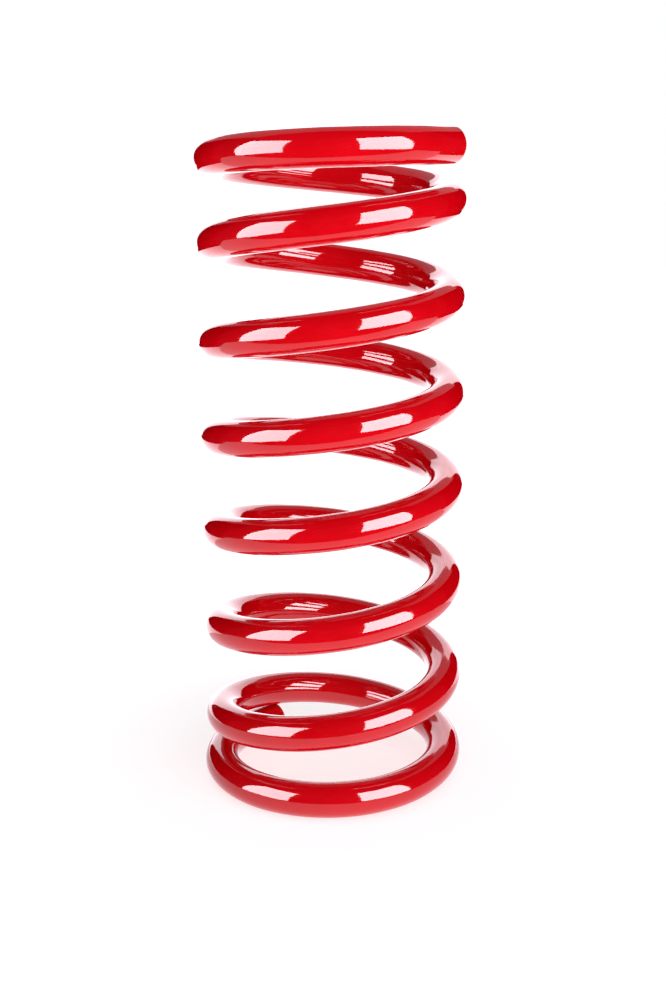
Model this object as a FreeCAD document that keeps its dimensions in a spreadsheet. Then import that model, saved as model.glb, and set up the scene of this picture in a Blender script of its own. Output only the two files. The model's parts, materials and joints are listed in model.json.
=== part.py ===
import FreeCAD, Part, Sketcher
import math
import os

from FreeCAD import Placement, Rotation, Vector

# The coil spring of a car's suspension: one round steel wire, wound right-handed and cut square at
# both ends. The lower end coil is closed, so its tip all but touches the turn above it. The upper
# end coil flattens out and stays open. The winding leaves the last of the wire straight at each tip.
#
# A coil spring works by twisting its wire. The wire is drawn as arcs laid end to end, each in one
# plane, and each cut is square across the wire. The wire climbs because each arc is twisted a
# little on the one before it, about the wire's own line, and it closes up when those twists shrink.
#
# Millimetres and degrees. +Z runs up the coil. The origin is under the middle of the coil, on the
# plane that its lowest wire touches.

SIZES = {
    "wire_diameter": 14.0,
    "coil_radius": 46.0,  # to the middle of the wire
    "tip_edge_radius": 0.8,  # the cut ends' edges, rounded by the coating
    "straight_end": 12.0,  # at each tip, before the cut
    "start_azimuth": 137.5,  # where the lower tip's bend begins, counted from +X
    "lower_tip_angle": 65.5,  # how much of a turn each section bends through
    "section_angle": 89.5,
    "upper_tip_angle": 27.75,
}

# Turns from the lower tip's bend, and the rise per turn that the wire has reached there.
PITCH_PROGRAM = [
    (0.25, 0.0),
    (0.81, 33.2),
    (1.67, 40.0),
    (2.97, 40.5),
    (3.57, 37.8),
    (5.97, 38.2),
    (6.72, 32.0),
    (7.63, 0.0),
]

LOWER_END_SECTIONS = 3
ACTIVE_SECTIONS = 23
UPPER_END_SECTIONS = 3

UP = Vector(0, 0, 1)
ALONG_WIRE = Vector(0, 1, 0)  # where an arc starts, in its own frame
FIRST_FACE, LAST_FACE = "Face2", "Face3"  # the round faces at an arc's two ends


def make_sheet(doc):
    sheet = doc.addObject("Spreadsheet::Sheet", "Sizes")
    rows = list(SIZES.items())
    for number, (turns, pitch) in enumerate(PITCH_PROGRAM, start=1):
        rows.append((f"station_{number}_turns", turns))
        rows.append((f"station_{number}_pitch", pitch))
    for row, (name, value) in enumerate(rows, start=1):
        sheet.set(f"A{row}", name)
        sheet.set(f"B{row}", str(value))
        sheet.setAlias(f"B{row}", name)
    doc.recompute()
    return sheet


def section_names():
    lower = [f"lower_end_coil_{n}" for n in range(1, LOWER_END_SECTIONS + 1)]
    active = [f"active_coil_{n:02d}" for n in range(1, ACTIVE_SECTIONS + 1)]
    upper = [f"upper_end_coil_{n}" for n in range(1, UPPER_END_SECTIONS + 1)]
    return ["lower_tip", *lower, *active, *upper, "upper_tip"]


def angle_cell(name):
    return f"{name}_angle" if name.endswith("_tip") else "section_angle"


def origin_plane(body, role):
    return next(item for item in body.Origin.OriginFeatures if item.Role == role)


def add_wire_circle(body, name):
    """The wire's round section, standing at the coil's radius from the arc's own axis."""
    sketch = body.newObject("Sketcher::SketchObject", f"{name}_circle")
    sketch.AttachmentSupport = [(origin_plane(body, "XZ_Plane"), "")]
    sketch.MapMode = "FlatFace"
    radius, diameter = SIZES["coil_radius"], SIZES["wire_diameter"]
    circle = sketch.addGeometry(Part.Circle(Vector(radius, 0, 0), UP, diameter / 2))
    centre = (circle, 3)
    sketch_origin = (-1, 1)
    horizontal_axis = -1
    sketch.addConstraint(Sketcher.Constraint("Diameter", circle, diameter))
    sketch.addConstraint(Sketcher.Constraint("DistanceX", *sketch_origin, *centre, radius))
    sketch.addConstraint(Sketcher.Constraint("PointOnObject", *centre, horizontal_axis))
    sketch.setExpression("Constraints[0]", "Sizes.wire_diameter")
    sketch.setExpression("Constraints[1]", "Sizes.coil_radius")
    return sketch


def far_circle(straight, arc):
    """The name of the edge round the cut end, which is the circle that the arc doesn't have."""
    bend = arc.Shape
    for number, edge in enumerate(straight.Shape.Edges, start=1):
        if edge.isClosed() and bend.distToShape(Part.Vertex(edge.CenterOfMass))[0] > 1:
            return f"Edge{number}"
    raise RuntimeError(f"{straight.Label} has no cut end")


def add_straight_end(body, name, arc, face):
    """The unbent end of the wire, with the edge of its cut rounded by the coating."""
    body.Document.recompute()
    straight = body.newObject("PartDesign::Pad", f"{name}_straight")
    straight.Profile = (arc, [face])
    straight.setExpression("Length", "Sizes.straight_end")
    body.Document.recompute()
    fillet = body.newObject("PartDesign::Fillet", f"{name}_rounded_end")
    fillet.Base = (straight, [far_circle(straight, arc)])
    fillet.setExpression("Radius", "Sizes.tip_edge_radius")
    arc.Visibility = straight.Visibility = False


def add_section(doc, name):
    """One arc of the wire, in its own frame: it starts on +X and runs round +Z."""
    body = doc.addObject("PartDesign::Body", name)
    body.Label = name
    sketch = add_wire_circle(body, name)
    arc = body.newObject("PartDesign::Revolution", f"{name}_arc")
    arc.Profile = sketch
    arc.ReferenceAxis = (sketch, ["V_Axis"])
    arc.setExpression("Angle", f"Sizes.{angle_cell(name)}")
    if name == "lower_tip":
        add_straight_end(body, name, arc, FIRST_FACE)
    if name == "upper_tip":
        add_straight_end(body, name, arc, LAST_FACE)
    return body


def pitch_program(sheet):
    stations = range(1, len(PITCH_PROGRAM) + 1)
    turns = [sheet.get(f"station_{n}_turns") for n in stations]
    pitches = [sheet.get(f"station_{n}_pitch") for n in stations]
    return list(zip(turns, pitches))


def pitch_at(turns, program):
    """The rise per turn, eased from one station to the next."""
    if turns <= program[0][0]:
        return program[0][1]
    for (low, low_pitch), (high, high_pitch) in zip(program, program[1:]):
        if turns <= high:
            share = (1 - math.cos(math.pi * (turns - low) / (high - low))) / 2
            return low_pitch + (high_pitch - low_pitch) * share
    return program[-1][1]


def twists_before(angles, sheet):
    """The twist in front of each arc, in degrees, that makes the wire climb as programmed.

    Along a plane arc the wire's slope swings as a sine. A twist changes the rate of that swing,
    so each one is chosen to bring the wire to the next cut at the slope wanted there.
    """
    program = pitch_program(sheet)
    half_section = math.radians(sheet.section_angle / 2)
    slope_at_cut = half_section / math.tan(half_section)  # an arc is steepest at its middle
    twists = []
    slope, rate, travelled = 0.0, 0.0, 0.0
    for angle in map(math.radians, angles):
        travelled += angle
        pitch = pitch_at(travelled / math.tau, program)
        wanted = slope_at_cut * pitch / (math.tau * sheet.coil_radius)
        new_rate = (wanted - slope * math.cos(angle)) / math.sin(angle)
        twists.append(math.degrees(new_rate - rate))
        rate = new_rate * math.cos(angle) - slope * math.sin(angle)
        slope = wanted
    return twists


def place_sections(sections, sheet):
    """Lays the arcs end to end, each twisted on the one before it."""
    angles = [sheet.get(angle_cell(section.Label)) for section in sections]
    wire_at_start = Vector(sheet.coil_radius, 0, 0)
    placement = Placement(Vector(), Rotation(UP, sheet.start_azimuth))
    for section, angle, twist in zip(sections, angles, twists_before(angles, sheet)):
        placement = placement * Placement(Vector(), Rotation(ALONG_WIRE, twist), wire_at_start)
        section.Placement = placement
        placement = placement * Placement(Vector(), Rotation(UP, angle))


def centre_on_origin(sections):
    """Moves the whole coil so that its box stands on the origin."""
    box = FreeCAD.BoundBox()
    for section in sections:
        box.add(section.Shape.optimalBoundingBox())
    shift = Placement(Vector(-box.Center.x, -box.Center.y, -box.ZMin), Rotation())
    for section in sections:
        section.Placement = shift * section.Placement


def check(doc, sections):
    for item in doc.Objects:
        if {"Invalid", "Error"} & set(item.State):
            raise RuntimeError(f"{item.Label}: {item.State}")
    for section in sections:
        if section.Shape.isNull() or not section.Shape.isValid():
            raise RuntimeError(f"{section.Label} has no valid shape")


def main():
    doc = FreeCAD.newDocument("coil_spring")
    sheet = make_sheet(doc)
    sections = [add_section(doc, name) for name in section_names()]
    doc.recompute()
    place_sections(sections, sheet)
    doc.recompute()
    centre_on_origin(sections)
    doc.recompute()
    check(doc, sections)
    os.makedirs("parts", exist_ok=True)
    for section in sections:
        section.Shape.exportStep(f"parts/{section.Label}.step")
    steel = sum(section.Shape.Volume for section in sections)
    print(f"{len(sections)} sections, {steel / 1000:.1f} cubic centimetres of wire")


main()
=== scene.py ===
import json
import math

import bpy
import numpy as np
from mathutils import Matrix, Vector


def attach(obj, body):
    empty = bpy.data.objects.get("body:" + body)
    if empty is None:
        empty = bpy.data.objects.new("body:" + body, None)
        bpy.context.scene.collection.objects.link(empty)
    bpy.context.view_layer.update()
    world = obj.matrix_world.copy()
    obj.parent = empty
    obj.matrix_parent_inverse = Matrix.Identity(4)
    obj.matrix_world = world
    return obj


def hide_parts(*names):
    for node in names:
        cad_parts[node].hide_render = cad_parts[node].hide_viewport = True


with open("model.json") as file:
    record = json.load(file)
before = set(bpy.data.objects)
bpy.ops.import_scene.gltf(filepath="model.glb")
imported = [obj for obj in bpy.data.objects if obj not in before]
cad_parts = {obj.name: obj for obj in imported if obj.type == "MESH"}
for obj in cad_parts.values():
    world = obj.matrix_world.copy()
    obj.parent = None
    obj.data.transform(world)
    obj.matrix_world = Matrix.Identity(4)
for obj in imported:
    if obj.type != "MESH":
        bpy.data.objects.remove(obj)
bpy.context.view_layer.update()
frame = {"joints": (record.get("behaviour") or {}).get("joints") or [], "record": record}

# The wire's path, wound as the frame was: plane arcs laid end to end, each twisted on the last.

coil = {  # metres and degrees
    "wireRadius": 0.007,
    "coilRadius": 0.046,
    "straightEnd": 0.012,
    "endEdge": 0.0008,  # the rounding of the cut ends' edges
    "startAzimuth": 137.5,
    "lowerTipTurn": 65.5,
    "sectionTurn": 89.5,
    "upperTipTurn": 27.75,
    "stepsPerDegree": 4,
}

pitchProgram = np.array([  # turns from the lower tip's bend, rise per turn in metres
    (0.25, 0.0),
    (0.81, 0.0332),
    (1.67, 0.0400),
    (2.97, 0.0405),
    (3.57, 0.0378),
    (5.97, 0.0382),
    (6.72, 0.0320),
    (7.63, 0.0),
])


def pitchAt(turns):  # a half cosine from one station to the next
    at, pitch = pitchProgram.T
    if turns <= at[0]:
        return pitch[0]
    k = min(int(np.searchsorted(at, turns)), len(at) - 1)
    share = (1 - math.cos(math.pi * (turns - at[k - 1]) / (at[k] - at[k - 1]))) / 2
    return pitch[k - 1] + (pitch[k] - pitch[k - 1]) * share


def turned(axis, angle):
    return np.array(Matrix.Rotation(angle, 3, Vector(axis)))


def windWire(turns):
    # centre of the wire at even steps of turn, as rows of the turn reached, x, y and z
    half = math.radians(coil["sectionTurn"]) / 2
    slopeAtCut = half / math.tan(half)
    radius = coil["coilRadius"]
    start = np.array([radius, 0, 0])
    facing, centre = turned((0, 0, 1), math.radians(coil["startAzimuth"])), np.zeros(3)
    slope = rate = reached = 0.0
    rows = []
    for turn in turns:
        wanted = slopeAtCut * pitchAt((reached + turn) / math.tau) / (math.tau * radius)
        newRate = (wanted - slope * math.cos(turn)) / math.sin(turn)
        twist = turned((0, 1, 0), newRate - rate)
        centre = centre + facing @ (start - twist @ start)
        facing = facing @ twist
        steps = round(math.degrees(turn) * coil["stepsPerDegree"])
        t = np.linspace(0, turn, steps + 1)[:-1]
        arc = np.stack([radius * np.cos(t), radius * np.sin(t), 0 * t], 1)
        rows.append(np.c_[reached + t, centre + arc @ facing.T])
        rate = newRate * math.cos(turn) - slope * math.sin(turn)
        slope, reached = wanted, reached + turn
        facing = facing @ turned((0, 0, 1), turn)
    rows.append(np.r_[reached, centre + facing @ start][None])
    return np.vstack(rows)


def evened(line):
    # a running mean over one section, taken round the coil's axis, so that the bend turns evenly
    axis = line[:, 1:3].mean(0)
    x, y = (line[:, 1:3] - axis).T
    lead = np.unwrap(np.arctan2(y, x)) - line[:, 0]
    columns = np.stack([np.hypot(x, y), lead, line[:, 3]], 1)
    reach = int(coil["sectionTurn"] * coil["stepsPerDegree"]) // 2
    padded = np.pad(columns, ((reach, reach), (0, 0)), "reflect", reflect_type="odd")
    total = np.vstack([np.zeros(3), np.cumsum(padded, 0)])
    window = 2 * reach + 1
    r, lead, z = ((total[window:] - total[:-window]) / window).T
    azimuth = lead + line[:, 0]
    return np.stack([line[:, 0], axis[0] + r * np.cos(azimuth), axis[1] + r * np.sin(azimuth), z], 1)


def unit(rows):
    return rows / np.linalg.norm(rows, axis=-1, keepdims=True)


def withStraightEnds(line):
    # the wire runs on straight at both tips, and its bend fades out over the straight's own length
    step = line[1, 0] - line[0, 0]
    count = round(coil["straightEnd"] / (step * coil["coilRadius"]))
    moves = np.pad(np.diff(line[:, 1:], axis=0), ((count, count), (0, 0)), "edge")
    strides = np.linalg.norm(moves, axis=1, keepdims=True)
    ways = moves / strides
    padded = np.pad(ways, ((count // 2, count // 2), (0, 0)), "edge")
    total = np.vstack([np.zeros(3), np.cumsum(padded, 0)])
    window = 2 * (count // 2) + 1
    faded = unit(total[window:] - total[:-window])
    for tip in (slice(0, 2 * count), slice(-2 * count, None)):
        ways[tip] = faded[tip]
    path = np.vstack([np.zeros(3), np.cumsum(ways * strides, 0)])
    middle = len(path) // 2
    path += line[middle - count, 1:] - path[middle]
    turn = line[0, 0] + step * np.arange(-count, len(path) - count)
    return np.c_[turn, path]


def at(line, turn):
    return np.stack([np.interp(turn, line[:, 0], line[:, i]) for i in (1, 2, 3)], -1)


bodies = frame["record"]["behaviour"]["bodies"]
nodes = [name for names in bodies.values() for name in names]
bodyOf = {name: body for body, names in bodies.items() for name in names}
tipTurns = {"lower_tip": coil["lowerTipTurn"], "upper_tip": coil["upperTipTurn"]}
turns = [math.radians(tipTurns.get(name, coil["sectionTurn"])) for name in nodes]
cuts = np.cumsum([0.0, *turns])  # the turn at each cut, tip to tip

wound = windWire(turns)
firstJoint = frame["joints"][0]
wound[:, 1:] += np.array(firstJoint["pos_m"]) - at(wound, cuts[nodes.index(firstJoint["child"])])
wire = withStraightEnds(evened(wound))
cuts[0], cuts[-1] = wire[0, 0], wire[-1, 0]
evenedBy = np.abs(at(wire, wound[:, 0]) - wound[:, 1:]).max() * 1000
print(f"wire wound in {len(nodes)} sections, evened by {evenedBy:.2f} mm at most")

# The coated surface: a circle carried along the wire, with the slight waves of a sprayed coat.

skin = {  # metres
    "ringStep": 1.25,  # degrees of turn between rings
    "around": 72,
    "lookAhead": 0.004,  # radians of turn over which the wire's direction is taken
    "longer": 1.618,  # each wave's partner, as a share of its length
    "waves": (  # height, length along the wire, times round it, lean
        (0.000012, 0.031, 1, 0.0),
        (0.000009, 0.019, 2, 1.3),
        (0.000006, 0.013, 3, 4.0),
        (0.000004, 0.0083, 4, 2.2),
    ),
}


def waveHeight(along, angle):
    # sum of sines of the length along the wire and the angle round it, kept below zero
    height = 0 * along * angle
    for size, length, times, lean in skin["waves"]:
        phase = math.tau * along / length + lean
        height = height + size * np.sin(phase) * np.cos(times * angle + 2 * lean)
        height = height + size * np.sin(math.tau * along / (skin["longer"] * length) + times * angle)
    return height - 2 * sum(wave[0] for wave in skin["waves"])


def skinPoints(turnAt, angle, shrink=0.0):
    # centre + radius x (cos angle x outward + sin angle x upward), across the wire's own direction
    inside = np.clip(turnAt, wire[0, 0], wire[-1, 0])
    centre = at(wire, inside)
    ahead = unit(at(wire, inside + skin["lookAhead"]) - at(wire, inside - skin["lookAhead"]))
    outward = unit(np.cross(ahead, (0, 0, 1)))
    upward = np.cross(outward, ahead)
    radius = coil["wireRadius"] + waveHeight(inside * coil["coilRadius"], angle)
    spoke = np.cos(angle)[..., None] * outward + np.sin(angle)[..., None] * upward
    return centre + (radius * (1 - shrink))[..., None] * spoke, ahead


cutEnd = {  # the sheared face under its coat
    "edgeRings": 7,
    "faceRings": 9,
    "crown": 0.00018,  # metres
    "lean": 0.00016,
    "leanToward": 0.7,  # radians
    "ripple": 0.00004,
    "ripples": 5,
    "rippleTurn": 7,  # radians that the ripples turn from the middle to the edge
    "blend": 6,  # how closely the crown keeps to the face
}


def cutEndRows(turnAt, side, angle):
    # a quarter circle round the edge, then rings to the middle: a crowned face with a slight lean
    radius, edge = coil["wireRadius"], coil["endEdge"]
    corner = np.radians(np.linspace(0, 90, cutEnd["edgeRings"] + 1))[1:]
    rows = [(edge / radius * (1 - math.cos(c)), edge * math.sin(c)) for c in corner]
    rim = 1 - edge / radius
    for share in np.linspace(1, 0, cutEnd["faceRings"] + 1)[1:]:
        rows.append((1 - rim * share, edge))
    made = []
    for shrink, advance in rows:
        share = np.clip((1 - shrink) / rim, 0, 1)
        ripple = np.sin(cutEnd["ripples"] * angle + cutEnd["rippleTurn"] * share)
        face = cutEnd["crown"] * (1 - share ** 2)
        face = face + cutEnd["lean"] * share * np.cos(angle - cutEnd["leanToward"])
        face = face + cutEnd["ripple"] * share ** 2 * ripple
        onFace = max(0.0, advance / edge - 1 + (1 - share ** cutEnd["blend"]))
        points, ahead = skinPoints(np.full(angle.shape, turnAt), angle, shrink)
        made.append(points + side * (advance - edge + face * onFace)[..., None] * ahead)
    return np.stack(made)


def ringFaces(rings, around):
    # quads between neighbouring rings, closed round
    ring, side = np.meshgrid(np.arange(rings - 1), np.arange(around), indexing="ij")
    low, high, nextSide = ring * around, (ring + 1) * around, (side + 1) % around
    corners = [low + side, high + side, high + nextSide, low + nextSide]
    return np.stack(corners, -1).reshape(-1, 4)


def sectionPiece(name, first, last, lowerCut=False, upperCut=False):
    around = skin["around"]
    inset = coil["endEdge"] / coil["coilRadius"]
    first, last = first + inset * lowerCut, last - inset * upperCut
    rings = max(int(math.degrees(last - first) / skin["ringStep"]), 8) + 1
    step = (last - first) / (rings - 1)
    turnAt = first + step * np.arange(-1 + lowerCut, rings + 1 - upperCut)  # spare rings, for normals
    angle = math.tau * np.arange(around) / around
    points, ahead = skinPoints(*np.meshgrid(turnAt, angle, indexing="ij"))
    if lowerCut:
        points = np.vstack([cutEndRows(wire[0, 0], -1, angle)[::-1], points])
    if upperCut:
        points = np.vstack([points, cutEndRows(wire[-1, 0], 1, angle)])
    alongWire = points[2:] - points[:-2]
    roundWire = np.roll(points, -1, 1) - np.roll(points, 1, 1)
    normals = unit(np.cross(alongWire, roundWire[1:-1])).reshape(-1, 3)
    lowPoint = points[0 if lowerCut else 1].mean(0)
    highPoint = points[-1 if upperCut else -2].mean(0)
    points = points[1:-1]
    vertices = np.vstack([points.reshape(-1, 3), lowPoint, highPoint])
    quads = ringFaces(len(points), around)
    low, high = len(vertices) - 2, len(vertices) - 1
    side, lastRing = np.arange(around), (len(points) - 1) * around
    nextSide = (side + 1) % around
    lowCap = np.stack([np.full(around, low), side, nextSide], 1)
    highCap = np.stack([np.full(around, high), lastRing + nextSide, lastRing + side], 1)
    lowWay, highWay = -ahead[0, 0], ahead[-1, 0]
    lowNormals = normals[lowCap[:, 1:]] if lowerCut else np.tile(lowWay, (around, 2, 1))
    highNormals = normals[highCap[:, 1:]] if upperCut else np.tile(highWay, (around, 2, 1))
    lowNormals = np.concatenate([np.tile(lowWay, (around, 1, 1)), lowNormals], 1)
    highNormals = np.concatenate([np.tile(highWay, (around, 1, 1)), highNormals], 1)
    cornerNormals = [normals[quads.ravel()], lowNormals.reshape(-1, 3), highNormals.reshape(-1, 3)]
    mesh = bpy.data.meshes.new(name)
    mesh.from_pydata(vertices, [], quads.tolist() + lowCap.tolist() + highCap.tolist())
    mesh.polygons.foreach_set("use_smooth", np.ones(len(mesh.polygons), bool))
    mesh.normals_split_custom_set(np.vstack(cornerNormals))
    piece = bpy.data.objects.new(name, mesh)
    bpy.context.scene.collection.objects.link(piece)
    return piece


class Socket:
    # one output of a shader node; sums and products of sockets add Math nodes
    def __init__(self, tree, output):
        self.tree, self.output = tree, output

    def node(self, kind, values, settings=None, output=0):
        made = self.tree.nodes.new(kind)
        for name, value in (settings or {}).items():
            setattr(made, name, value)
        for name, value in values.items():
            if isinstance(value, Socket):
                self.tree.links.new(value.output, made.inputs[name])
            else:
                made.inputs[name].default_value = value
        return Socket(self.tree, None if output is None else made.outputs[output])

    def maths(self, operation, first, second=0.0):
        return self.node("ShaderNodeMath", {0: first, 1: second}, {"operation": operation})

    def __add__(self, other):
        return self.maths("ADD", self, other)

    def __radd__(self, other):
        return self.maths("ADD", other, self)

    def __sub__(self, other):
        return self.maths("SUBTRACT", self, other)

    def __rsub__(self, other):
        return self.maths("SUBTRACT", other, self)

    def __mul__(self, other):
        return self.maths("MULTIPLY", self, other)

    def __rmul__(self, other):
        return self.maths("MULTIPLY", other, self)

    def rising(self, low, high):  # 0 below low, 1 above high, smooth between
        values = {"Value": self, "From Min": low, "From Max": high}
        return self.node("ShaderNodeMapRange", values, {"interpolation_type": "SMOOTHSTEP"})

    def noise(self, size, detail):  # size in metres
        return self.node("ShaderNodeTexNoise", {"Vector": self, "Scale": 1 / size, "Detail": detail})

    def blend(self, low, high):  # self is the share of high; 6 and 7 are the colours
        return self.node("ShaderNodeMix", {0: self, 6: low, 7: high}, {"data_type": "RGBA"}, 2)


def newMaterial(name):
    material = bpy.data.materials.new(name)
    material.use_nodes = True
    return material, material.node_tree.nodes["Principled BSDF"]


def objectPlace(material):
    coordinates = material.node_tree.nodes.new("ShaderNodeTexCoord")
    return Socket(material.node_tree, coordinates.outputs["Object"])


def feed(socket, shader, name):
    socket.tree.links.new(socket.output, shader.inputs[name])


coat = {  # lengths in metres
    "thin": (0.58, 0.0004, 0.0040, 1),
    "thick": (0.63, 0.0006, 0.0060, 1),
    "pooling": 0.018,  # size of the patches of thicker coat
    "poolEdge": (0.35, 0.65),  # noise values between which thin turns to thick
    "glossy": 0.045,
    "dull": 0.075,
    "sheen": 0.0048,  # size of the patches of duller coat
    "peel": 0.0016,  # size of the orange peel
    "peelHeight": 0.0000007,
    "nibSpacing": 0.011,
    "nibRadius": 0.00034,
    "nibHeight": 0.00011,
}


def powderCoat(name):
    material, shader = newMaterial(name)
    place = objectPlace(material)
    pooled = place.noise(coat["pooling"], 2.0).rising(*coat["poolEdge"])
    feed(pooled.blend(coat["thin"], coat["thick"]), shader, "Base Color")
    sheen = place.noise(coat["sheen"], 1.0)
    feed(coat["glossy"] + (coat["dull"] - coat["glossy"]) * sheen, shader, "Roughness")
    peel = place.noise(coat["peel"], 1.0)
    settings = {"feature": "F1", "distance": "EUCLIDEAN"}
    values = {"Vector": place, "Scale": 1 / coat["nibSpacing"], "Randomness": 1.0}
    away = place.node("ShaderNodeTexVoronoi", values, settings) * coat["nibSpacing"]
    nib = 1 - away.rising(0.0, coat["nibRadius"])
    height = peel * coat["peelHeight"] + nib * coat["nibHeight"]
    relief = height.node("ShaderNodeBump", {"Height": height, "Strength": 1.0, "Distance": 1.0})
    feed(relief, shader, "Normal")
    return material


coating = powderCoat("redPowderCoat")

for k, name in enumerate(nodes):
    piece = sectionPiece("coated_" + name, cuts[k], cuts[k + 1], name == "lower_tip", name == "upper_tip")
    piece.data.materials.append(coating)
    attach(piece, bodyOf[name])
    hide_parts(name)
print("wire coated")

# The studio: what the coat mirrors, soft fills, and a pale floor that glows with painted light, rising to
# white away from the spring.

studio = {  # metres
    "floorReach": 3.0,
    "floorColour": (0.50, 0.50, 0.50, 1),
    "floorRoughness": 0.9,
    "glowFrom": 0.05,  # where the floor's painted glow starts to rise to white
    "glowTo": 0.34,
    "nearGlow": (0.72, 0.73, 0.73, 1),
    "farGlow": (1.2, 1.2, 1.2, 1),
    "seenSky": 1.0,
    "roomGlow": 0.025,
    "lampTint": (1.0, 0.94, 1.0),
    "darkBehind": (0.34, 0.40),  # where the room's glow ends, as the sine of the angle behind
}

mirrored = {  # seen only in the coat: middle, width, height, facing, radiance
    "leftBox": ((-0.60, -0.36, 0.44), 0.55, 0.82, (0.60, 0.36, 0), 13.0),
    "rightBox": ((0.49, -0.50, 0.46), 0.57, 0.86, (-0.49, 0.50, 0), 15.0),
    "backPanel": ((0.0, 1.30, 0.45), 1.40, 0.98, (0, -1, 0), 2.3),
    "tableNear": ((-0.10, -0.035, 0.0004), 1.40, 0.31, (0, 0, 1), 0.95),
    "tableBehind": ((0.0, 0.69, 0.0004), 0.80, 1.14, (0, 0, 1), 2.1),
    "ceiling": ((0.0, 1.0, 1.5), 2.4, 1.8, (0, -0.5, -1), 0.35),
}

fills = {  # not mirrored: middle, width, height, facing, radiance
    "frontFill": ((0.45, -1.25, 0.70), 2.2, 1.5, (-0.45, 1.25, -0.55), 1.60),
    "topFill": ((0.0, 0.1, 1.3), 1.8, 1.8, (0, 0, -1), 0.58),
}


def areaLight(name, middle, width, height, facing, radiance):
    light = bpy.data.lights.new(name, "AREA")
    light.shape = "RECTANGLE"
    light.size, light.size_y = width, height
    light.energy = 4 * width * height * radiance
    light.color = studio["lampTint"]
    lamp = bpy.data.objects.new(name, light)
    lamp.location = middle
    lamp.rotation_euler = Vector(facing).to_track_quat("-Z", "Y").to_euler()
    bpy.context.scene.collection.objects.link(lamp)
    lamp.visible_camera = False
    return lamp


for name, lamp in mirrored.items():
    areaLight(name, *lamp).visible_diffuse = False
for name, lamp in fills.items():
    areaLight(name, *lamp).visible_glossy = False

reach = studio["floorReach"]
sheet = bpy.data.meshes.new("floor")
corners = [(-reach, -reach, 0), (reach, -reach, 0), (reach, reach, 0), (-reach, reach, 0)]
sheet.from_pydata(corners, [], [(0, 1, 2, 3)])
floor = bpy.data.objects.new("floor", sheet)
bpy.context.scene.collection.objects.link(floor)
floor.visible_glossy = False

paint, shader = newMaterial("floor")
sheet.materials.append(paint)
shader.inputs["Base Color"].default_value = studio["floorColour"]
shader.inputs["Roughness"].default_value = studio["floorRoughness"]
shader.inputs["Specular IOR Level"].default_value = 0.0
# painted light: the floor glows through its Emission Color, dimmer near the spring and white further out
shader.inputs["Emission Strength"].default_value = 1.0
place = objectPlace(paint)
away = place.node("ShaderNodeVectorMath", {0: place}, {"operation": "LENGTH"}, "Value")
fading = away.rising(studio["glowFrom"], studio["glowTo"])
feed(fading.blend(studio["nearGlow"], studio["farGlow"]), shader, "Emission Color")

world = bpy.data.worlds.new("studio")
bpy.context.scene.world = world
world.use_nodes = True
tree = world.node_tree
tree.nodes.clear()
way = Socket(tree, tree.nodes.new("ShaderNodeTexCoord").outputs["Generated"])
behind = way.node("ShaderNodeSeparateXYZ", {"Vector": way}, output="Y").rising(*studio["darkBehind"])
looking = Socket(tree, tree.nodes.new("ShaderNodeLightPath").outputs["Is Camera Ray"])
glow = looking * studio["seenSky"] + (1 - looking) * (1 - behind) * studio["roomGlow"]
sky = glow.node("ShaderNodeBackground", {"Color": (1, 1, 1, 1), "Strength": glow})
sky.node("ShaderNodeOutputWorld", {"Surface": sky}, output=None)
print("studio lit")

# The camera: half a metre in front, level with the upper turns and looking a little down.

viewpoint = {  # metres, radians and millimetres
    "place": (0.0, -0.5428, 0.2453),
    "pitch": 0.2337,  # below level
    "yaw": 0.0011,
    "roll": -0.0048,
    "lens": 50.04,
    "sensor": 36,
}

lens = bpy.data.cameras.new("camera")
lens.lens = viewpoint["lens"]
lens.sensor_width = viewpoint["sensor"]
camera = bpy.data.objects.new("camera", lens)
bpy.context.scene.collection.objects.link(camera)
bpy.context.scene.camera = camera
camera.location = viewpoint["place"]
aimed = Matrix.Rotation(-viewpoint["yaw"], 3, "Z")
tipped = Matrix.Rotation(math.pi / 2 - viewpoint["pitch"], 3, "X")
rolled = Matrix.Rotation(viewpoint["roll"], 3, "Z")
camera.rotation_euler = (aimed @ tipped @ rolled).to_euler()
bpy.context.scene.view_settings.view_transform = "Standard"
